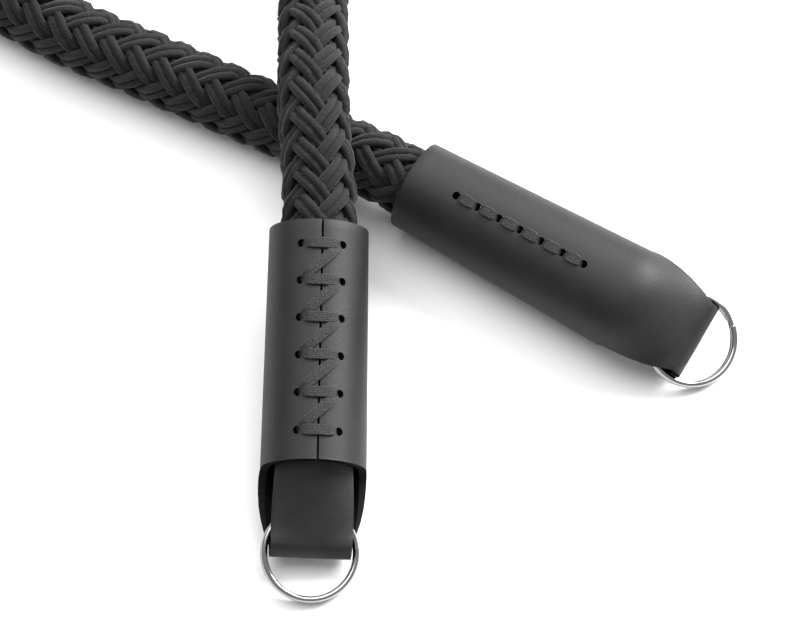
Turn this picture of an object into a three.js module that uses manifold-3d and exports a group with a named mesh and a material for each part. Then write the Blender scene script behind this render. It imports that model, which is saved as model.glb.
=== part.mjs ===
// Rope camera strap: one braided rope laid in a long loop with its two ends crossed, and on each end
// a laced leather sleeve whose tongue is folded through a split ring and tucked back into the mouth.
// Millimetres, +Z up. The rope rests on the plane z = 0, and the strap's length runs along Y.

import * as THREE from 'three';
import { mergeVertices } from 'three/addons/utils/BufferGeometryUtils.js';
import loadManifold from 'manifold-3d';

const wasm = await loadManifold();
wasm.setup();

// Rope
const ropeRadius = 5.3;
const ropeSides = 12;
const ropeSteps = 64;

// Leather sleeve, measured along its axis from the rim at the rope's end
const leather = 1.15;
const rimRadius = 6.3; // mean radius to the middle of the wall, as the other sleeve radii
const lipRadius = 6.8;
const lipAlong = 36.2;
const seamGap = 0.4;
const shoulderHalf = 11.8; // half width of the leather where it leaves the lip
const shoulderStep = 0.5; // how far past the lip the shoulders start
const shoulderPower = 1.4; // above 1 the shoulders narrow early
const loosenPower = 2.4; // how late the roll opens flat between the lip and the fold
const tongueHalf = 5.85;
const tongueColumns = 3; // facets on each half of the tongue
const shoulderColumns = 3; // facets on each shoulder
const flapColumns = 4; // facets on each flap above the shoulders
const shoulderRows = 6;

// Tongue: the fold that holds the ring, and the end that is tucked back under the lip
const foldRadius = 1.7;
const foldRows = 6;
const tuckRows = 6;
const tuckEnd = { along: 30.5, height: 4.75, radius: 5.0 };
const curlPower = 0.7; // how early the tucked tongue takes the curve of the mouth

// Punched holes of the lacing and of the row of stitches on the back
const punchRadius = 0.6;
const punchSides = 8;
const punchDepth = 2.2;
const lacingRows = 6;
const lacingFirst = 3.9;
const lacingPitch = 5.62;
const lacingHalfSpan = 2.8;
const backHoles = 7;
const backFirst = 8;
const backPitch = 3.6;

// Split ring: two flat turns of wire, seen as one band with a groove between them
const ringOuter = 7.1;
const ringInner = 6.2;
const ringHalfHeight = 0.65;
const ringGroove = 0.15;
const ringSegments = 32;

// How each end lies, in its sleeve's own frame: how far the section is pressed wider than it is high at the
// rim and at the lip, the roll about the axis, the fold's centre, the outward slopes of the outer layer and
// of the tucked layer there, and the ring's slope and reach past the fold. End b lies turned over.
const ends = {
  a: {
    turnedOver: false,
    rimSquash: 1.068,
    lipSquash: 1.045,
    roll: 6.5,
    foldAlong: 46.4,
    foldHeight: -1.9,
    backSlope: 2,
    tuckSlope: -17,
    ringSlope: -10.5,
    ringReach: 1.5,
  },
  b: {
    turnedOver: true,
    rimSquash: 1.0,
    lipSquash: 1.1,
    roll: -12,
    foldAlong: 46.4,
    foldHeight: 2.9,
    backSlope: 33,
    tuckSlope: 5,
    ringSlope: 23,
    ringReach: 1.0,
  },
};

// The rope's route, from inside sleeve b, under the crossing, round the loop, over it and into sleeve a.
// The first four and last four points lie in line, so the rope is straight through each sleeve.
const route = [
  [20.0, -153.3, 7.3],
  [14.1, -141.7, 7.3],
  [7.7, -129.2, 7.3],
  [5.4, -124.7, 7.3],
  [2.6, -119.1, 6.1],
  [-0.6, -113.1, 5.25],
  [-5.3, -105.3, 5.15],
  [-14.5, -90.9, 5.15],
  [-23.8, -76.2, 5.15],
  [-31.2, -60.0, 5.15],
  [-35.4, -40.5, 5.15],
  [-37.0, -17.5, 5.15],
  [-37.0, 36.5, 5.15],
  [-37.0, 86.5, 5.15],
  [-37.0, 135.1, 5.15],
  [-26.2, 161.3, 5.15],
  [0.0, 172.1, 5.15],
  [26.2, 161.3, 5.15],
  [37.0, 135.1, 5.15],
  [37.0, 86.5, 5.15],
  [37.0, 36.5, 5.15],
  [37.0, -17.5, 5.15],
  [35.4, -41.5, 5.15],
  [31.0, -61.0, 5.3],
  [25.0, -74.5, 6.2],
  [17.8, -86.0, 8.4],
  [10.0, -96.0, 11.7],
  [4.8, -104.8, 14.8],
  [-0.4, -113.5, 16.1],
  [-7.4, -126.9, 14.0],
  [-10.0, -131.1, 13.2],
  [-17.4, -142.8, 10.95],
  [-24.3, -153.6, 8.85],
].map((point) => new THREE.Vector3(...point));

const black = { rope: 0x2b2b2d, leather: 0x303032, ring: 0xc9cacc };

function radians(degrees) {
  return THREE.MathUtils.degToRad(degrees);
}

function toSolid(geometry) {
  const bare = geometry.clone();
  bare.deleteAttribute('normal');
  bare.deleteAttribute('uv');
  const merged = mergeVertices(bare);
  const vertProperties = merged.attributes.position.array;
  const triVerts = new Uint32Array(merged.index.array);
  return new wasm.Manifold(new wasm.Mesh({ numProp: 3, vertProperties, triVerts }));
}

function toGeometry(solid) {
  const mesh = solid.getMesh();
  const geometry = new THREE.BufferGeometry();
  geometry.setAttribute('position', new THREE.BufferAttribute(mesh.vertProperties, 3));
  geometry.setIndex(new THREE.BufferAttribute(mesh.triVerts, 1));
  return geometry;
}

function makeMesh(name, geometry, color, roughness, metalness) {
  const mesh = new THREE.Mesh(geometry, new THREE.MeshStandardMaterial({ color, roughness, metalness }));
  mesh.name = name;
  return mesh;
}

// A closed wall of even thickness on a sheet of four-sided cells. Each sheet point has a place and an
// inward direction, and a cell edge that no other cell shares is closed by a strip of cut leather.
function thicken(sheet, cells, thickness) {
  const positions = [];
  for (const side of [-0.5, 0.5]) {
    for (const { place, inward } of sheet) {
      positions.push(...place.clone().addScaledVector(inward, side * thickness).toArray());
    }
  }
  const count = sheet.length;
  const faces = [];
  const edges = new Map();
  for (const cell of cells) {
    const [p, q, r, s] = cell;
    faces.push(p, q, r, p, r, s);
    faces.push(p + count, r + count, q + count, p + count, s + count, r + count);
    cell.forEach((from, k) => {
      const to = cell[(k + 1) % cell.length];
      const shared = `${to} ${from}`;
      if (edges.has(shared)) {
        edges.delete(shared);
      } else {
        edges.set(`${from} ${to}`, [from, to]);
      }
    });
  }
  for (const [from, to] of edges.values()) {
    faces.push(to, from, from + count, to, from + count, to + count);
  }
  const geometry = new THREE.BufferGeometry();
  geometry.setAttribute('position', new THREE.Float32BufferAttribute(positions, 3));
  geometry.setIndex(faces);
  return geometry;
}

// The leather's back line from the rim to the tucked end, drawn in the sleeve's own upright plane.
function makeSpine(end) {
  const back = radians(end.backSlope);
  const tuck = radians(end.tuckSlope);
  const fold = new THREE.Vector2(end.foldAlong, end.foldHeight);
  const outward = (angle, distance) => new THREE.Vector2(Math.cos(angle), Math.sin(angle)).multiplyScalar(distance);
  const arcStart = fold.clone().add(outward(back - Math.PI / 2, foldRadius));
  const arcEnd = fold.clone().add(outward(tuck + Math.PI / 2, foldRadius));
  const reach = (arcStart.x - lipAlong) / 2.5;
  const beforeFold = arcStart.clone().sub(outward(back, reach));
  const afterFold = arcEnd.clone().sub(outward(tuck, reach));
  const spine = new THREE.Path();
  const lipDepth = lipRadius / end.lipSquash;
  spine.moveTo(0, -rimRadius / end.rimSquash);
  spine.lineTo(lipAlong, -lipDepth);
  spine.bezierCurveTo(lipAlong + reach, -lipDepth, beforeFold.x, beforeFold.y, arcStart.x, arcStart.y);
  spine.absarc(fold.x, fold.y, foldRadius, back - Math.PI / 2, tuck + Math.PI / 2, false);
  spine.bezierCurveTo(afterFold.x, afterFold.y, tuckEnd.along + reach, tuckEnd.height, tuckEnd.along, tuckEnd.height);
  return spine;
}

// The leather blank, rolled round the rope and folded at the tongue, as one closed wall.
function makeBlank(end) {
  const spine = makeSpine(end);
  const [lip, foldStart, foldEnd, total] = spine.getCurveLengths();
  const halfAt = (radius) => Math.PI * radius - seamGap / 2;

  const wallRadius = (along) => THREE.MathUtils.lerp(rimRadius, lipRadius, Math.min(along / lip, 1));
  const loosening = (along) => THREE.MathUtils.clamp((along - lip) / (foldStart - lip), 0, 1) ** loosenPower;
  const curl = (along) => {
    if (along <= foldStart) return (1 - loosening(along)) / wallRadius(along);
    if (along <= foldEnd) return 0;
    return ((along - foldEnd) / (total - foldEnd)) ** curlPower / tuckEnd.radius;
  };
  const squash = (along) => {
    if (along <= lip) return THREE.MathUtils.lerp(end.rimSquash, end.lipSquash, along / lip);
    return THREE.MathUtils.lerp(end.lipSquash, 1, loosening(along));
  };

  const placeOn = (across, along) => {
    const share = along < lip ? halfAt(wallRadius(along)) / halfAt(lipRadius) : 1;
    const point = spine.getPointAt(Math.min(along / total, 1));
    const tangent = spine.getTangentAt(Math.min(along / total, 1));
    const inner = new THREE.Vector3(-tangent.y, 0, tangent.x);
    const bend = curl(along);
    const wide = squash(along);
    const turn = bend * across * share;
    const sideways = (bend > 0 ? Math.sin(turn) / bend : across * share) * wide;
    const rise = (bend > 0 ? (1 - Math.cos(turn)) / bend : 0) / wide;
    const place = new THREE.Vector3(point.x, sideways, point.y).addScaledVector(inner, rise);
    const inward = inner.clone().multiplyScalar(Math.cos(turn) * wide);
    inward.y = -Math.sin(turn) / wide;
    return { place, inward: inward.normalize() };
  };

  const columns = [];
  const addColumns = (from, to, count) => {
    for (let k = 0; k < count; k += 1) columns.push(THREE.MathUtils.lerp(from, to, k / count));
  };
  const full = halfAt(lipRadius);
  addColumns(-full, -shoulderHalf, flapColumns);
  addColumns(-shoulderHalf, -tongueHalf, shoulderColumns);
  addColumns(-tongueHalf, tongueHalf, 2 * tongueColumns);
  addColumns(tongueHalf, shoulderHalf, shoulderColumns);
  addColumns(shoulderHalf, full, flapColumns);
  columns.push(full);

  const edgeAt = (across) => {
    if (Math.abs(across) > shoulderHalf + seamGap) return lip;
    const taper = THREE.MathUtils.clamp((shoulderHalf - Math.abs(across)) / (shoulderHalf - tongueHalf), 0, 1);
    return THREE.MathUtils.lerp(lip + shoulderStep, foldStart, taper ** shoulderPower);
  };

  const straightRows = [0, lip / 3, (2 * lip) / 3, lip - 2];
  const rowsBefore = straightRows.length;
  const sheet = [];
  const cells = [];
  const addRow = (list, alongOf) => {
    const first = sheet.length;
    for (const across of list) sheet.push(placeOn(across, alongOf(across)));
    return first;
  };
  const addCells = (before, after, count) => {
    for (let k = 0; k < count; k += 1) cells.push([before + k, before + k + 1, after + k + 1, after + k]);
  };

  let previous = null;
  for (let row = 0; row < rowsBefore + shoulderRows; row += 1) {
    const part = (row - rowsBefore + 1) / shoulderRows;
    const start = straightRows[rowsBefore - 1];
    const alongOf = (across) =>
      row < rowsBefore ? straightRows[row] : THREE.MathUtils.lerp(start, edgeAt(across), part);
    const current = addRow(columns, alongOf);
    if (previous !== null) addCells(previous, current, columns.length - 1);
    previous = current;
  }

  const firstTongue = flapColumns + shoulderColumns;
  const tongue = columns.slice(firstTongue, firstTongue + 2 * tongueColumns + 1);
  previous += firstTongue;
  for (let row = 1; row <= foldRows + tuckRows; row += 1) {
    const along = row <= foldRows
      ? THREE.MathUtils.lerp(foldStart, foldEnd, row / foldRows)
      : THREE.MathUtils.lerp(foldEnd, total, (row - foldRows) / tuckRows);
    const current = addRow(tongue, () => along);
    addCells(previous, current, tongue.length - 1);
    previous = current;
  }
  return thicken(sheet, cells, leather);
}

// A punch through the wall at a distance along the sleeve and a distance to the side, at the seam or the back.
function makePunch(end, along, aside, facing) {
  const share = along / lipAlong;
  const wide = THREE.MathUtils.lerp(end.rimSquash, end.lipSquash, share);
  const radius = THREE.MathUtils.lerp(rimRadius, lipRadius, share);
  const angle = Math.asin(aside / (radius * wide));
  const height = (facing * radius * Math.cos(angle)) / wide;
  const direction = new THREE.Vector3(0, Math.sin(angle) / wide, facing * Math.cos(angle) * wide).normalize();
  const punch = new THREE.CylinderGeometry(punchRadius, punchRadius, punchDepth, punchSides);
  punch.applyQuaternion(new THREE.Quaternion().setFromUnitVectors(new THREE.Vector3(0, 1, 0), direction));
  punch.translate(along, aside, height);
  return punch;
}

function makeSleeve(end) {
  let solid = toSolid(makeBlank(end));
  for (let row = 0; row < lacingRows; row += 1) {
    for (const side of [-1, 1]) {
      const punch = makePunch(end, lacingFirst + row * lacingPitch, side * lacingHalfSpan, 1);
      solid = solid.subtract(toSolid(punch));
    }
  }
  for (let hole = 0; hole < backHoles; hole += 1) {
    solid = solid.subtract(toSolid(makePunch(end, backFirst + hole * backPitch, 0, -1)));
  }
  return toGeometry(solid);
}

function makeRing() {
  const middle = (ringOuter + ringInner) / 2;
  const corner = ringGroove;
  const profile = [
    [ringInner + ringGroove, 0],
    [ringInner, -ringHalfHeight / 2],
    [ringInner + corner, -ringHalfHeight],
    [middle, -ringHalfHeight],
    [ringOuter - corner, -ringHalfHeight],
    [ringOuter, -ringHalfHeight / 2],
    [ringOuter - ringGroove, 0],
    [ringOuter, ringHalfHeight / 2],
    [ringOuter - corner, ringHalfHeight],
    [middle, ringHalfHeight],
    [ringInner + corner, ringHalfHeight],
    [ringInner, ringHalfHeight / 2],
    [ringInner + ringGroove, 0],
  ].map(([radius, height]) => new THREE.Vector2(radius, height));
  return new THREE.LatheGeometry(profile, ringSegments);
}

// One end of the strap, standing in the frame of its sleeve: x along the axis towards the ring, z to the seam.
function makeEnd(letter, rim, inside) {
  const end = ends[letter];
  const sleeve = makeMesh(`sleeve_${letter}`, makeSleeve(end), black.leather, 0.55, 0);
  const ring = makeMesh(`ring_${letter}`, makeRing(), black.ring, 0.15, 1);
  const slope = radians(end.ringSlope);
  const reach = end.ringReach;
  ring.position.set(end.foldAlong + reach * Math.cos(slope), 0, end.foldHeight + reach * Math.sin(slope));
  const ringAxis = new THREE.Vector3(-Math.sin(slope), 0, Math.cos(slope));
  ring.quaternion.setFromUnitVectors(new THREE.Vector3(0, 1, 0), ringAxis);

  const axis = inside.clone().sub(rim).normalize();
  const upright = new THREE.Vector3(0, 0, end.turnedOver ? -1 : 1);
  const lateral = new THREE.Vector3().crossVectors(upright, axis).normalize();
  const seamward = new THREE.Vector3().crossVectors(axis, lateral);
  const group = new THREE.Group();
  group.add(sleeve, ring);
  group.quaternion.setFromRotationMatrix(new THREE.Matrix4().makeBasis(axis, lateral, seamward));
  group.rotateX(-radians(end.roll));
  group.position.copy(rim);
  return group;
}

function makeRope() {
  const section = new THREE.Shape();
  for (let side = 0; side < ropeSides; side += 1) {
    const angle = ((side + 0.5) / ropeSides) * 2 * Math.PI;
    const corner = [ropeRadius * Math.cos(angle), ropeRadius * Math.sin(angle)];
    if (side === 0) section.moveTo(...corner);
    else section.lineTo(...corner);
  }
  const path = new THREE.CatmullRomCurve3(route, false, 'centripetal');
  const geometry = new THREE.ExtrudeGeometry(section, { steps: ropeSteps, extrudePath: path, bevelEnabled: false });
  return makeMesh('rope', geometry, black.rope, 0.8, 0);
}

const strap = new THREE.Group();
strap.add(makeRope());
strap.add(makeEnd('a', route[route.length - 3], route[route.length - 1]));
strap.add(makeEnd('b', route[2], route[0]));

export default strap;
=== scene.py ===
"""Rope camera strap: braided rope, laced leather sleeves, split rings, over the CAD frame. Metres, +Z up."""

import bisect
import math

import bmesh
import bpy
from mathutils import Matrix, Vector


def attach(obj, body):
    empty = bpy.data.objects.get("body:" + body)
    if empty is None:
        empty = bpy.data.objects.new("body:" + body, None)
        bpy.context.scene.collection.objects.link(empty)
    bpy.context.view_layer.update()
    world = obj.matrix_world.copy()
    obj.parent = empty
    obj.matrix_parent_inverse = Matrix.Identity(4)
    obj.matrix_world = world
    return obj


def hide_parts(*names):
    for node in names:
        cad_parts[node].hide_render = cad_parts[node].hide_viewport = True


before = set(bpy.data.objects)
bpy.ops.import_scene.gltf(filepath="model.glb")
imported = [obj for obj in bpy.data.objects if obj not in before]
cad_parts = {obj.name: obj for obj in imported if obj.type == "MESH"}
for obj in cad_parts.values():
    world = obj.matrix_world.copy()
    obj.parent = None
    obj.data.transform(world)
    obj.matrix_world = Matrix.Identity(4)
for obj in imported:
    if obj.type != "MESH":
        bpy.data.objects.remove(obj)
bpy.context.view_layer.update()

MM = 0.001
SPLINE_SAMPLES = 24

# The rope's route in millimetres, from inside sleeve b, under the crossing, round the loop and into sleeve a
ROUTE = [
    (20.0, -153.3, 7.3),
    (14.1, -141.7, 7.3),
    (7.7, -129.2, 7.3),
    (5.4, -124.7, 7.3),
    (2.6, -119.1, 6.1),
    (-0.6, -113.1, 5.25),
    (-5.3, -105.3, 5.15),
    (-14.5, -90.9, 5.15),
    (-23.8, -76.2, 5.15),
    (-31.2, -60.0, 5.15),
    (-35.4, -40.5, 5.15),
    (-37.0, -17.5, 5.15),
    (-37.0, 36.5, 5.15),
    (-37.0, 86.5, 5.15),
    (-37.0, 135.1, 5.15),
    (-26.2, 161.3, 5.15),
    (0.0, 172.1, 5.15),
    (26.2, 161.3, 5.15),
    (37.0, 135.1, 5.15),
    (37.0, 86.5, 5.15),
    (37.0, 36.5, 5.15),
    (37.0, -17.5, 5.15),
    (35.4, -41.5, 5.15),
    (31.0, -61.0, 5.3),
    (25.0, -74.5, 6.2),
    (17.8, -86.0, 8.4),
    (10.0, -96.0, 11.7),
    (4.8, -104.8, 14.8),
    (-0.4, -113.5, 16.1),
    (-7.4, -126.9, 14.0),
    (-10.0, -131.1, 13.2),
    (-17.4, -142.8, 10.95),
    (-24.3, -153.6, 8.85),
]
RIM_B, INSIDE_B = 2, 0
RIM_A, INSIDE_A = len(ROUTE) - 3, len(ROUTE) - 1

# Braid: eight pairs of yarn each way, over two and under two, so each eighth of the way round is one column
CARRIERS = 8
YARNS_PER_CARRIER = 2
YARN_RADIUS = 0.7 * MM
YARN_SWING = 0.6 * MM
BRAID_RADIUS = 4.2 * MM
BRAID_PITCH = 36 * MM
YARN_STEP = 1.25 * MM
YARN_SIDES = 5
YARN_SPREAD = 0.165
COLUMN_PAIRS = 4
COLUMN_TURN = math.radians(62)
CROSSING_SHARPNESS = 1.7
CORE_RADIUS = 3.6 * MM
CORE_SIDES = 8
PLUMP_SHARE = 0.06
PLUMP_REACH = 16 * MM
HIDDEN_INSIDE = 6 * MM

# Leather sleeve, as the CAD has it but with its seam drawn closer and its cut edges rounded
RIM_RADIUS, LIP_RADIUS = 6.3 * MM, 6.8 * MM
LEATHER = 1.15 * MM
LIP_ALONG = 36.2 * MM
SEAM_GAP = 0.28 * MM
SHOULDER_HALF = 11.8 * MM
SHOULDER_STEP = 0.5 * MM
SHOULDER_POWER = 1.4
LOOSEN_POWER = 2.4
TONGUE_HALF = 5.85 * MM
FOLD_RADIUS = 1.7 * MM
TUCK_ALONG, TUCK_HEIGHT, TUCK_RADIUS = 30.5 * MM, 4.75 * MM, 5.0 * MM
TUCK_CURL_POWER = 0.7
EDGE_ROUNDING = 0.18 * MM
HOLE_RADIUS = 0.62 * MM
HOLE_DEPTH = 3.2 * MM
HOLE_SIDES = 14
SPINE_SAMPLES = 60
SHEET_STRAIGHT_ROWS, SHEET_LIP_ROWS = 24, 14
SHEET_FOLD_ROWS, SHEET_TUCK_ROWS = 14, 16
SHEET_TONGUE_COLUMNS, SHEET_SIDE_COLUMNS = 16, 9
LIP_ROOM = 2 * MM

# How each end lies: its points on the route, which way its seam faces, its roll in degrees, how far the
# section is pressed wide at the rim and the lip, the fold's centre, and the slopes of the two layers there
ENDS = {
    "a": {
        "rim": RIM_A,
        "inside": INSIDE_A,
        "over": 1,
        "roll": 6.5,
        "rim_squash": 1.068,
        "lip_squash": 1.045,
        "fold": (46.4 * MM, -1.9 * MM),
        "back_slope": 2.0,
        "tuck_slope": -17.0,
    },
    "b": {
        "rim": RIM_B,
        "inside": INSIDE_B,
        "over": -1,
        "roll": -12.0,
        "rim_squash": 1.0,
        "lip_squash": 1.1,
        "fold": (46.4 * MM, 2.9 * MM),
        "back_slope": 33.0,
        "tuck_slope": 5.0,
    },
}

# Lacing and back stitches
LACING_ROWS = 6
LACING_FIRST = 3.9 * MM
LACING_PITCH = 5.62 * MM
LACING_HALF_SPAN = 2.8 * MM
BACK_HOLES = 7
BACK_FIRST = 8 * MM
BACK_PITCH = 3.6 * MM
THREAD_RADIUS = 0.2 * MM
THREAD_STRANDS = 6
THREAD_SPACING = 0.25 * MM
THREAD_LIFT = 0.22 * MM
THREAD_SIDES = 6
THREAD_PINCH = 0.45
STITCH_SAMPLES = 14
LACING_SINK = -1.0 * MM
BACK_SINK = -0.9 * MM
BACK_INSET = 0.35 * MM

# Split ring
RING_RADIUS = 6.65 * MM
WIRE_RADIUS = 0.5 * MM
RING_SAMPLES = 160
RING_SIDES = 10
RING_TURNS = 1.97
RING_STEP_START, RING_STEP_SHARE = 0.46, 0.08
RING_STACK = 1.7

# Camera at the photograph's angle
IMAGE_WIDTH = 800
FOCAL_PIXELS = 3400
SENSOR = 36.0
VIEW_TURN = 31.5
VIEW_ELEVATION = 64.0
VIEW_DISTANCE = 507.4 * MM
VIEW_TARGET = Vector((-4.1, -144.2, 0.0)) * MM


def spline_points(points, step):
    """Points at even steps along the centripetal spline through the route."""
    pts = [Vector(p) for p in points]
    pts = [2 * pts[0] - pts[1]] + pts + [2 * pts[-1] - pts[-2]]
    dense = []
    for p0, p1, p2, p3 in zip(pts, pts[1:], pts[2:], pts[3:]):
        knots = [0.0]
        for a, b in ((p0, p1), (p1, p2), (p2, p3)):
            knots.append(knots[-1] + max((b - a).length, 1e-9) ** 0.5)
        t0, t1, t2, t3 = knots
        for k in range(SPLINE_SAMPLES):
            t = t1 + (t2 - t1) * k / SPLINE_SAMPLES
            a1 = p0.lerp(p1, (t - t0) / (t1 - t0))
            a2 = p1.lerp(p2, (t - t1) / (t2 - t1))
            a3 = p2.lerp(p3, (t - t2) / (t3 - t2))
            b1 = a1.lerp(a2, (t - t0) / (t2 - t0))
            b2 = a2.lerp(a3, (t - t1) / (t3 - t1))
            dense.append(b1.lerp(b2, (t - t1) / (t2 - t1)))
    dense.append(pts[-2])
    even, left = [dense[0].copy()], step
    for a, b in zip(dense, dense[1:]):
        length, done = (b - a).length, 0.0
        while length - done >= left:
            done += left
            even.append(a.lerp(b, done / length))
            left = step
        left -= length - done
    return even


def rope_frames(line):
    """Centre, sideways and upward direction at each point of the rope's line."""
    frames = []
    for k, centre in enumerate(line):
        along = (line[min(k + 1, len(line) - 1)] - line[max(k - 1, 0)]).normalized()
        side = Vector((0, 0, 1)).cross(along).normalized()
        frames.append((centre, side, along.cross(side)))
    return frames


def sleeve_matrix(end):
    """Frame of a sleeve: x from the rim towards the ring, z to the seam."""
    rim, inside = Vector(ROUTE[end["rim"]]) * MM, Vector(ROUTE[end["inside"]]) * MM
    axis = (inside - rim).normalized()
    lateral = Vector((0, 0, end["over"])).cross(axis).normalized()
    turn = Matrix((axis, lateral, axis.cross(lateral))).transposed()
    roll = Matrix.Rotation(-math.radians(end["roll"]), 3, "X")
    return Matrix.Translation(rim) @ (turn @ roll).to_4x4()


def on_sleeve(end, along, aside, facing, lift):
    """A point over the sleeve's outer face, in the sleeve's frame."""
    share = along / LIP_ALONG
    wide = end["rim_squash"] + (end["lip_squash"] - end["rim_squash"]) * share
    radius = RIM_RADIUS + (LIP_RADIUS - RIM_RADIUS) * share
    angle = math.asin(aside / (radius * wide))
    outward = Vector((0, math.sin(angle) / wide, facing * math.cos(angle) * wide)).normalized()
    place = Vector((along, aside, facing * radius * math.cos(angle) / wide))
    return place + outward * (LEATHER / 2 + lift)


class Shade:
    """A shader socket, on which sums and products add Math nodes."""

    def __init__(self, tree, socket):
        self.tree = tree
        self.socket = socket

    def node(self, kind, settings=None, **inputs):
        made = self.tree.nodes.new(kind)
        for key, value in (settings or {}).items():
            setattr(made, key, value)
        for key, value in inputs.items():
            numbered = key[0] == "i" and key[1:].isdigit()
            socket = made.inputs[int(key[1:]) if numbered else key]
            if isinstance(value, Shade):
                self.tree.links.new(value.socket, socket)
            else:
                socket.default_value = value
        return made

    def take(self, kind, output=0, settings=None, **inputs):
        return Shade(self.tree, self.node(kind, settings, **inputs).outputs[output])

    def math(self, operation, first, second):
        return self.take("ShaderNodeMath", 0, {"operation": operation}, i0=first, i1=second)

    def __add__(self, other):
        return self.math("ADD", self, other)

    __radd__ = __add__

    def __mul__(self, other):
        return self.math("MULTIPLY", self, other)

    def mix(self, dark, light):
        return self.take("ShaderNodeMix", 2, {"data_type": "RGBA"}, i0=self, i6=dark, i7=light)


def new_material(name):
    material = bpy.data.materials.new(name)
    material.use_nodes = True
    tree = material.node_tree
    shader = tree.nodes["Principled BSDF"]
    place = Shade(tree, tree.nodes.new("ShaderNodeTexCoord").outputs["Object"])
    return material, shader, place


def grey(value):
    """A grey with a trace of blue."""
    return (value, value, value * 1.03, 1.0)


def link(value, socket):
    value.tree.links.new(value.socket, socket)


def make_yarn_material(name, dark, light, fibre_scale, roughness, specular):
    material, shader, place = new_material(name)
    fibres = place.take(
        "ShaderNodeTexNoise", 0, {}, Vector=place, Scale=fibre_scale, Detail=3.0, Roughness=0.65
    )
    tone = place.take("ShaderNodeTexNoise", 0, {}, Vector=place, Scale=260.0, Detail=1.0)
    link((fibres * 0.7 + tone * 0.3).mix(grey(dark), grey(light)), shader.inputs["Base Color"])
    bump = place.take("ShaderNodeBump", 0, {}, Strength=0.8, Distance=0.0003, Height=fibres)
    link(bump, shader.inputs["Normal"])
    shader.inputs["Roughness"].default_value = roughness
    shader.inputs["Specular IOR Level"].default_value = specular
    shader.inputs["Sheen Weight"].default_value = 0.08
    return material


def make_leather_material():
    material, shader, place = new_material("black_leather")
    grain = place.take("ShaderNodeTexVoronoi", 0, {"feature": "F1"}, Vector=place, Scale=2600.0)
    cloud = place.take("ShaderNodeTexNoise", 0, {}, Vector=place, Scale=220.0, Detail=4.0, Roughness=0.6)
    link(cloud.mix(grey(0.005), grey(0.014)), shader.inputs["Base Color"])
    link(0.44 + cloud * 0.2, shader.inputs["Roughness"])
    relief = grain * 0.5 + cloud * 0.8
    bump = place.take("ShaderNodeBump", 0, {}, Strength=0.16, Distance=0.00015, Height=relief)
    link(bump, shader.inputs["Normal"])
    shader.inputs["Specular IOR Level"].default_value = 0.3
    return material


def make_plain_material(name, colour, roughness, metallic=0.0, specular=0.5):
    material, shader, place = new_material(name)
    scuff = place.take("ShaderNodeTexNoise", 0, {}, Vector=place, Scale=900.0, Detail=2.0)
    link(roughness + scuff * 0.06, shader.inputs["Roughness"])
    shader.inputs["Base Color"].default_value = colour
    shader.inputs["Metallic"].default_value = metallic
    shader.inputs["Specular IOR Level"].default_value = specular
    return material


def make_sweep_tree():
    """Curve to round strand: named inputs for its radius, its sides and its material."""
    tree = bpy.data.node_groups.new("strand", "GeometryNodeTree")
    face = tree.interface
    face.new_socket("Geometry", in_out="INPUT", socket_type="NodeSocketGeometry")
    sockets = {}
    for key, kind in (("radius", "Float"), ("sides", "Int"), ("material", "Material")):
        made = face.new_socket(f"Strand {key}", in_out="INPUT", socket_type=f"NodeSocket{kind}")
        sockets[key] = made.identifier
    face.new_socket("Geometry", in_out="OUTPUT", socket_type="NodeSocketGeometry")
    add = tree.nodes.new
    into, out = add("NodeGroupInput"), add("NodeGroupOutput")
    circle, sweep = add("GeometryNodeCurvePrimitiveCircle"), add("GeometryNodeCurveToMesh")
    smooth, realize = add("GeometryNodeSetShadeSmooth"), add("GeometryNodeRealizeInstances")
    paint = add("GeometryNodeSetMaterial")
    join = tree.links.new
    join(into.outputs["Strand sides"], circle.inputs["Resolution"])
    join(into.outputs["Strand radius"], circle.inputs["Radius"])
    join(into.outputs["Geometry"], sweep.inputs["Curve"])
    join(circle.outputs["Curve"], sweep.inputs["Profile Curve"])
    sweep.inputs["Fill Caps"].default_value = True
    join(sweep.outputs["Mesh"], smooth.inputs["Geometry"])
    join(smooth.outputs["Geometry"], realize.inputs["Geometry"])
    join(realize.outputs["Geometry"], paint.inputs["Geometry"])
    join(into.outputs["Strand material"], paint.inputs["Material"])
    join(paint.outputs["Geometry"], out.inputs["Geometry"])
    return tree, sockets


SWEEP_TREE, SWEEP_SOCKETS = make_sweep_tree()


def sweep(name, lines, radius, sides, material):
    """Round strands along lines of points, as one plain mesh."""
    curve = bpy.data.curves.new(name, "CURVE")
    curve.dimensions = "3D"
    for line in lines:
        spline = curve.splines.new("POLY")
        spline.points.add(len(line) - 1)
        for point, place in zip(spline.points, line):
            point.co = (*place, 1)
    path = bpy.data.objects.new(name + "_path", curve)
    bpy.context.collection.objects.link(path)
    modifier = path.modifiers.new("strand", "NODES")
    modifier.node_group = SWEEP_TREE
    modifier[SWEEP_SOCKETS["radius"]] = radius
    modifier[SWEEP_SOCKETS["sides"]] = sides
    modifier[SWEEP_SOCKETS["material"]] = material
    graph = bpy.context.evaluated_depsgraph_get()
    mesh = bpy.data.meshes.new_from_object(path.evaluated_get(graph), depsgraph=graph)
    bpy.data.objects.remove(path)
    mesh.materials.clear()
    mesh.materials.append(material)
    piece = bpy.data.objects.new(name, mesh)
    bpy.context.collection.objects.link(piece)
    return piece


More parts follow.
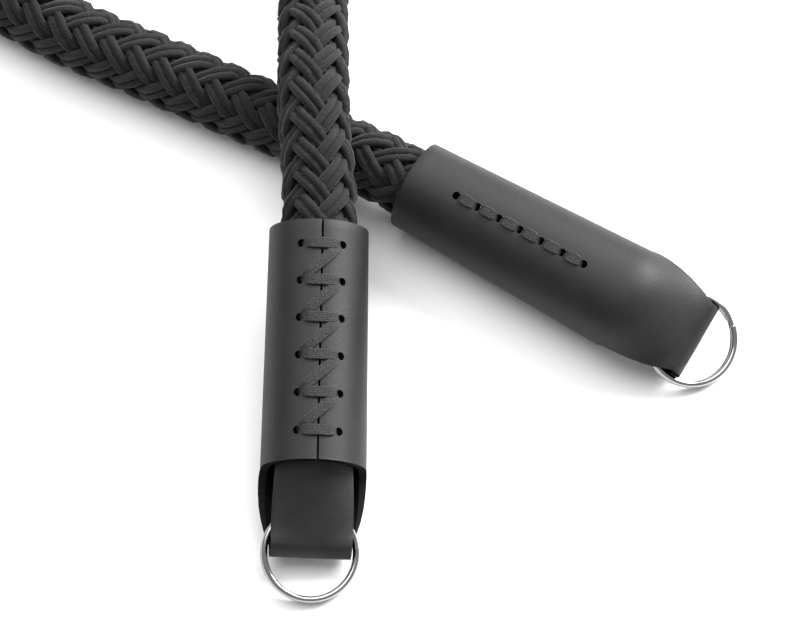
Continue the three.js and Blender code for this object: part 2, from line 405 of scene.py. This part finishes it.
def make_braid(material, core_material):
    """The rope's yarns as they cross, and the dark core that shows between them."""
    line = spline_points([Vector(p) * MM for p in ROUTE], YARN_STEP)
    rims = [Vector(ROUTE[RIM_B]) * MM, Vector(ROUTE[RIM_A]) * MM]
    first, last = (min(range(len(line)), key=lambda k: (line[k] - rim).length) for rim in rims)
    spare = int(HIDDEN_INSIDE / YARN_STEP)
    shown = range(first - spare, last + spare)
    frames = rope_frames(line)
    yarns = []
    for lean in (1, -1):
        for carrier in range(CARRIERS):
            for yarn in range(YARNS_PER_CARRIER):
                aside = (yarn * 2 - 1) * YARN_SPREAD
                points = []
                for k in shown:
                    centre, side, up = frames[k]
                    turned = carrier / CARRIERS + lean * k * YARN_STEP / BRAID_PITCH
                    angle = 2 * math.pi * turned + aside
                    wave = math.cos(COLUMN_PAIRS * (angle - aside - COLUMN_TURN))
                    over = math.tanh(CROSSING_SHARPNESS * wave) / math.tanh(CROSSING_SHARPNESS)
                    away = (last - k) * YARN_STEP
                    plump = 1 + PLUMP_SHARE * math.exp(-max(away, 0) / PLUMP_REACH)
                    out = (BRAID_RADIUS + lean * over * YARN_SWING) * plump
                    point = centre + (side * math.cos(angle) + up * math.sin(angle)) * out
                    # The table presses the underside flat
                    point.z = max(point.z, YARN_RADIUS)
                    points.append(point)
                yarns.append(points)
    braid = sweep("braid", yarns, YARN_RADIUS, YARN_SIDES, material)
    core = sweep("braid_core", [[line[k] for k in shown]], CORE_RADIUS, CORE_SIDES, core_material)
    join_core(braid, core)
    return braid, [line[k] for k in shown]


def join_core(braid, core):
    """The core goes into the braid's own mesh, with its own material."""
    braid.data.materials.append(core.data.materials[0])
    core.data.polygons.foreach_set("material_index", [1] * len(core.data.polygons))
    shape = bmesh.new()
    shape.from_mesh(braid.data)
    shape.from_mesh(core.data)
    shape.to_mesh(braid.data)
    shape.free()
    bpy.data.objects.remove(core)


def flat_thread(points, width_direction):
    """The strands of a flat waxed thread, side by side along a line of points."""
    middle = (THREAD_STRANDS - 1) / 2
    last = len(points) - 1
    strands = []
    for k in range(THREAD_STRANDS):
        strand = []
        for n, p in enumerate(points):
            spread = THREAD_PINCH + (1 - THREAD_PINCH) * min(1.0, 4 * min(n, last - n) / last)
            strand.append(p + width_direction * (k - middle) * THREAD_SPACING * spread)
        strands.append(strand)
    return strands


def stitch(end, matrix, start, finish, facing, sink):
    """A flat thread over the sleeve from one hole to another, each given as (along, aside)."""
    points = []
    for k in range(STITCH_SAMPLES + 1):
        share = k / STITCH_SAMPLES
        along = start[0] + (finish[0] - start[0]) * share
        aside = start[1] + (finish[1] - start[1]) * share
        rise = min(1.0, 5 * min(share, 1 - share))
        lift = sink + (THREAD_LIFT - sink) * math.sin(rise * math.pi / 2)
        points.append(on_sleeve(end, along, aside, facing, lift))
    run = Vector((finish[0] - start[0], finish[1] - start[1], 0)).normalized()
    across = Vector((run.y, -run.x, 0))
    return [[matrix @ p for p in strand] for strand in flat_thread(points, across)]


def make_lacing(letter, material):
    end = ENDS[letter]
    matrix = sleeve_matrix(end)
    strands = []
    for row in range(LACING_ROWS):
        along = LACING_FIRST + row * LACING_PITCH
        left, right = (along, -LACING_HALF_SPAN), (along, LACING_HALF_SPAN)
        strands += stitch(end, matrix, left, right, 1, LACING_SINK)
        if row < LACING_ROWS - 1:
            next_left = (along + LACING_PITCH, -LACING_HALF_SPAN)
            strands += stitch(end, matrix, right, next_left, 1, LACING_SINK)
    for hole in range(BACK_HOLES - 1):
        along = BACK_FIRST + hole * BACK_PITCH
        start, finish = (along + BACK_INSET, 0), (along + BACK_PITCH - BACK_INSET, 0)
        strands += stitch(end, matrix, start, finish, -1, BACK_SINK)
    return sweep(f"lacing_{letter}", strands, THREAD_RADIUS, THREAD_SIDES, material)


class Spine:
    """The leather's back line in the sleeve's upright plane, rim to tucked end, by its own length."""

    def __init__(self, end):
        back, tuck = math.radians(end["back_slope"]), math.radians(end["tuck_slope"])
        fold = Vector(end["fold"])
        start = fold + self.toward(back - math.pi / 2, FOLD_RADIUS)
        finish = fold + self.toward(tuck + math.pi / 2, FOLD_RADIUS)
        reach = (start.x - LIP_ALONG) / 2.5
        rim = Vector((0, -RIM_RADIUS / end["rim_squash"]))
        lip = Vector((LIP_ALONG, -LIP_RADIUS / end["lip_squash"]))
        tucked = Vector((TUCK_ALONG, TUCK_HEIGHT))
        ahead = Vector((reach, 0))
        turn = tuck - back + math.pi
        shares = [k / SPINE_SAMPLES for k in range(SPINE_SAMPLES)]
        runs = [
            [rim.lerp(lip, u) for u in shares],
            self.bezier(lip, lip + ahead, start - self.toward(back, reach), start, shares),
            [fold + self.toward(back - math.pi / 2 + turn * u, FOLD_RADIUS) for u in shares],
            self.bezier(finish, finish - self.toward(tuck, reach), tucked + ahead, tucked, shares),
            [tucked],
        ]
        self.points = [p for run in runs for p in run]
        self.lengths = [0.0]
        for p, q in zip(self.points, self.points[1:]):
            self.lengths.append(self.lengths[-1] + (q - p).length)
        self.lip, self.fold_start, self.fold_end = (
            self.lengths[k * SPINE_SAMPLES] for k in (1, 2, 3)
        )
        self.total = self.lengths[-1]

    @staticmethod
    def toward(angle, distance):
        return Vector((math.cos(angle), math.sin(angle))) * distance

    @staticmethod
    def bezier(p, q, r, t, shares):
        curve = []
        for u in shares:
            curve.append(p * (1 - u) ** 3 + q * 3 * u * (1 - u) ** 2 + r * 3 * u * u * (1 - u) + t * u**3)
        return curve

    def at(self, along):
        k = min(max(bisect.bisect_right(self.lengths, along) - 1, 0), len(self.points) - 2)
        p, q = self.points[k], self.points[k + 1]
        share = (along - self.lengths[k]) / (self.lengths[k + 1] - self.lengths[k])
        return p.lerp(q, share), (q - p).normalized()


def clamp(value):
    return min(max(value, 0.0), 1.0)


def lerp(a, b, share):
    return a + (b - a) * share


def leather_point(end, spine, across, along):
    """Place and inward direction on the middle of the wall, in the sleeve's frame."""
    past_lip = clamp((along - spine.lip) / (spine.fold_start - spine.lip)) ** LOOSEN_POWER
    before_lip = clamp(along / spine.lip)
    radius = lerp(RIM_RADIUS, LIP_RADIUS, before_lip)
    share = (math.pi * radius - SEAM_GAP / 2) / (math.pi * LIP_RADIUS - SEAM_GAP / 2)
    wide = lerp(lerp(end["rim_squash"], end["lip_squash"], before_lip), 1.0, past_lip)
    if along <= spine.fold_start:
        bend = (1 - past_lip) / radius
    else:
        tucked = clamp((along - spine.fold_end) / (spine.total - spine.fold_end))
        bend = tucked**TUCK_CURL_POWER / TUCK_RADIUS
    point, tangent = spine.at(along)
    inner = Vector((-tangent.y, 0, tangent.x))
    turn = bend * across * share
    sideways = (math.sin(turn) / bend if bend > 1e-6 else across * share) * wide
    rise = ((1 - math.cos(turn)) / bend if bend > 1e-6 else 0.0) / wide
    place = Vector((point.x, sideways, point.y)) + inner * rise
    inward = inner * (math.cos(turn) * wide)
    inward.y = -math.sin(turn) / wide
    return place, inward.normalized()


def even_steps(start, stop, count):
    return [lerp(start, stop, k / count) for k in range(count)]


def leather_sheet(end):
    """The cut blank as rows of points on the middle of the wall, and its four-sided cells."""
    spine = Spine(end)
    full = math.pi * LIP_RADIUS - SEAM_GAP / 2
    shoulders = even_steps(SHOULDER_HALF, full, SHEET_SIDE_COLUMNS) + [full]
    slopes = even_steps(TONGUE_HALF, SHOULDER_HALF, SHEET_SIDE_COLUMNS)
    right = slopes + shoulders
    tongue = even_steps(-TONGUE_HALF, TONGUE_HALF, SHEET_TONGUE_COLUMNS)
    columns = [-x for x in reversed(right)] + tongue[1:] + right

    def edge(across):
        if abs(across) > SHOULDER_HALF:
            return spine.lip
        taper = clamp((SHOULDER_HALF - abs(across)) / (SHOULDER_HALF - TONGUE_HALF))
        return lerp(spine.lip + SHOULDER_STEP, spine.fold_start, taper**SHOULDER_POWER)

    straight = spine.lip - LIP_ROOM
    rows = [[(x, straight * k / SHEET_STRAIGHT_ROWS) for x in columns] for k in range(SHEET_STRAIGHT_ROWS)]
    for k in range(SHEET_LIP_ROWS + 1):
        rows.append([(x, lerp(straight, edge(x), k / SHEET_LIP_ROWS)) for x in columns])
    first = len(right) - 1
    narrow = columns[first : first + len(tongue) + 1]
    beyond = even_steps(spine.fold_start, spine.fold_end, SHEET_FOLD_ROWS)[1:]
    beyond += even_steps(spine.fold_end, spine.total, SHEET_TUCK_ROWS) + [spine.total]
    rows += [[(x, along) for x in narrow] for along in beyond]
    points, cells, starts = [], [], []
    for row in rows:
        starts.append(len(points))
        points += [leather_point(end, spine, across, along) for across, along in row]
    for k in range(len(rows) - 1):
        before, after = starts[k], starts[k + 1]
        if len(rows[k]) > len(rows[k + 1]):
            before += first
        for c in range(len(rows[k + 1]) - 1):
            cells.append((before + c, before + c + 1, after + c + 1, after + c))
    return points, cells


def make_leather(letter, grain, flesh):
    """The rolled and folded blank with rounded cut edges, punched for its lacing and its stitches."""
    end = ENDS[letter]
    matrix = sleeve_matrix(end)
    points, cells = leather_sheet(end)
    count = len(points)
    outer = [place - inward * LEATHER / 2 for place, inward in points]
    inner = [place + inward * LEATHER / 2 for place, inward in points]
    faces = list(cells) + [tuple(v + count for v in reversed(cell)) for cell in cells]
    edges = {}
    for cell in cells:
        for p, q in zip(cell, cell[1:] + cell[:1]):
            if (q, p) in edges:
                del edges[(q, p)]
            else:
                edges[(p, q)] = None
    faces += [(q, p, p + count, q + count) for p, q in edges]
    mesh = bpy.data.meshes.new(f"leather_{letter}")
    mesh.from_pydata([matrix @ p for p in outer + inner], [], faces)
    mesh.materials.append(grain)
    mesh.materials.append(flesh)
    mesh.polygons.foreach_set("material_index", [0] * len(cells) + [1] * (len(faces) - len(cells)))
    mesh.shade_smooth()
    piece = bpy.data.objects.new(f"leather_{letter}", mesh)
    bpy.context.collection.objects.link(piece)
    punches = make_punches(end, matrix, mesh.materials)
    rounding = piece.modifiers.new("rounded edges", "BEVEL")
    rounding.width = EDGE_ROUNDING
    rounding.segments = 2
    rounding.angle_limit = math.radians(60)
    punching = piece.modifiers.new("punched holes", "BOOLEAN")
    punching.object = punches
    punching.solver = "EXACT"
    graph = bpy.context.evaluated_depsgraph_get()
    finished = bpy.data.meshes.new_from_object(piece.evaluated_get(graph), depsgraph=graph)
    piece.modifiers.clear()
    piece.data = finished
    finished.set_sharp_from_angle(angle=math.radians(50))
    bpy.data.objects.remove(punches)
    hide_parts(f"sleeve_{letter}")
    return piece


def make_punches(end, matrix, materials):
    """One cutter for every hole of the lacing and of the row of stitches, its walls in the flesh material."""
    holes = []
    for row in range(LACING_ROWS):
        along = LACING_FIRST + row * LACING_PITCH
        holes += [(along, side * LACING_HALF_SPAN, 1) for side in (-1, 1)]
    holes += [(BACK_FIRST + k * BACK_PITCH, 0.0, -1) for k in range(BACK_HOLES)]
    shape = bmesh.new()
    for along, aside, facing in holes:
        low = on_sleeve(end, along, aside, facing, -LEATHER / 2)
        high = on_sleeve(end, along, aside, facing, 0)
        turn = (high - low).to_track_quat("Z", "Y").to_matrix().to_4x4()
        place = matrix @ Matrix.Translation(low) @ turn
        bmesh.ops.create_cone(
            shape,
            cap_ends=True,
            segments=HOLE_SIDES,
            radius1=HOLE_RADIUS,
            radius2=HOLE_RADIUS,
            depth=HOLE_DEPTH,
            matrix=place,
        )
    mesh = bpy.data.meshes.new("punches")
    shape.to_mesh(mesh)
    shape.free()
    for material in materials:
        mesh.materials.append(material)
    mesh.polygons.foreach_set("material_index", [1] * len(mesh.polygons))
    punches = bpy.data.objects.new("punches", mesh)
    bpy.context.collection.objects.link(punches)
    return punches


def ring_matrix(letter):
    """Middle and axis of a CAD ring, from the spread of its vertices."""
    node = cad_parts[f"ring_{letter}"]
    corners = [node.matrix_world @ v.co for v in node.data.vertices]
    middle = sum(corners, Vector()) / len(corners)
    outer = sorted(corners, key=lambda p: -(p - middle).length)[: len(corners) // 4]
    axis = Vector()
    for p, q in zip(outer, outer[1:]):
        turn = (p - middle).cross(q - middle)
        axis += turn if turn.dot(axis) >= 0 else -turn
    return Matrix.Translation(middle) @ axis.to_track_quat("Z", "Y").to_matrix().to_4x4()


def make_ring(letter, material):
    """Two turns of wire, the second stepped over the first."""
    matrix = ring_matrix(letter)
    points = []
    for k in range(RING_SAMPLES + 1):
        share = k / RING_SAMPLES
        turn = 2 * math.pi * RING_TURNS * share
        step = clamp((share - RING_STEP_START) / RING_STEP_SHARE)
        height = (step * step * (3 - 2 * step) - 0.5) * RING_STACK * WIRE_RADIUS
        points.append(matrix @ Vector((RING_RADIUS * math.cos(turn), RING_RADIUS * math.sin(turn), height)))
    ring = sweep(f"split_ring_{letter}", [points], WIRE_RADIUS, RING_SIDES, material)
    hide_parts(f"ring_{letter}")
    return ring


def make_floor():
    bpy.ops.mesh.primitive_plane_add(size=6.0)
    floor = bpy.context.object
    floor.name = "floor"
    material, shader, _ = new_material("pale_floor")
    shader.inputs["Base Color"].default_value = (0.93, 0.93, 0.93, 1)
    shader.inputs["Roughness"].default_value = 0.9
    floor.data.materials.append(material)


def make_light(name, place, size, power):
    data = bpy.data.lights.new(name, "AREA")
    data.shape = "DISK"
    data.size = size
    data.energy = power
    lamp = bpy.data.objects.new(name, data)
    lamp.location = VIEW_TARGET + Vector(place)
    lamp.rotation_euler = (-Vector(place)).to_track_quat("-Z", "Y").to_euler()
    bpy.context.collection.objects.link(lamp)


def make_camera():
    turn, rise = math.radians(VIEW_TURN), math.radians(VIEW_ELEVATION)
    back = Vector((-math.sin(turn) * math.cos(rise), -math.cos(turn) * math.cos(rise), math.sin(rise)))
    data = bpy.data.cameras.new("camera")
    data.sensor_fit = "HORIZONTAL"
    data.sensor_width = SENSOR
    data.lens = FOCAL_PIXELS / IMAGE_WIDTH * SENSOR
    camera = bpy.data.objects.new("camera", data)
    camera.location = VIEW_TARGET + back * VIEW_DISTANCE
    camera.rotation_euler = (-back).to_track_quat("-Z", "Y").to_euler()
    bpy.context.collection.objects.link(camera)
    bpy.context.scene.camera = camera


def main():
    yarn = make_yarn_material("black_yarn", 0.001, 0.025, 2600.0, 0.8, 0.14)
    core_yarn = make_plain_material("core_yarn", grey(0.004), 0.85, specular=0.1)
    thread = make_yarn_material("waxed_thread", 0.001, 0.035, 3800.0, 0.5, 0.3)
    leather = make_leather_material()
    flesh = make_plain_material("leather_flesh", grey(0.004), 0.9, specular=0.15)
    steel = make_plain_material("bright_wire", grey(0.36), 0.14, 1.0)

    braid, path = make_braid(yarn, core_yarn)
    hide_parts("rope")
    pieces = [(braid, "rope")]
    for letter in ENDS:
        pieces.append((make_leather(letter, leather, flesh), "leather"))
        pieces.append((make_lacing(letter, thread), "rope"))
        pieces.append((make_ring(letter, steel), "steel"))
    for piece, finish in pieces:
        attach(piece, "root")
    length = sum((b - a).length for a, b in zip(path, path[1:]))

    make_floor()
    world = bpy.data.worlds.new("studio")
    world.use_nodes = True
    world.node_tree.nodes["Background"].inputs["Color"].default_value = (1, 1, 1, 1)
    world.node_tree.nodes["Background"].inputs["Strength"].default_value = 0.45
    bpy.context.scene.world = world
    make_light("key", (0.75, 0.07, 0.5), 0.6, 22)
    make_light("fill", (0.05, 0.4, 1.0), 1.4, 15)
    bpy.context.scene.view_settings.view_transform = "Standard"
    make_camera()


main()
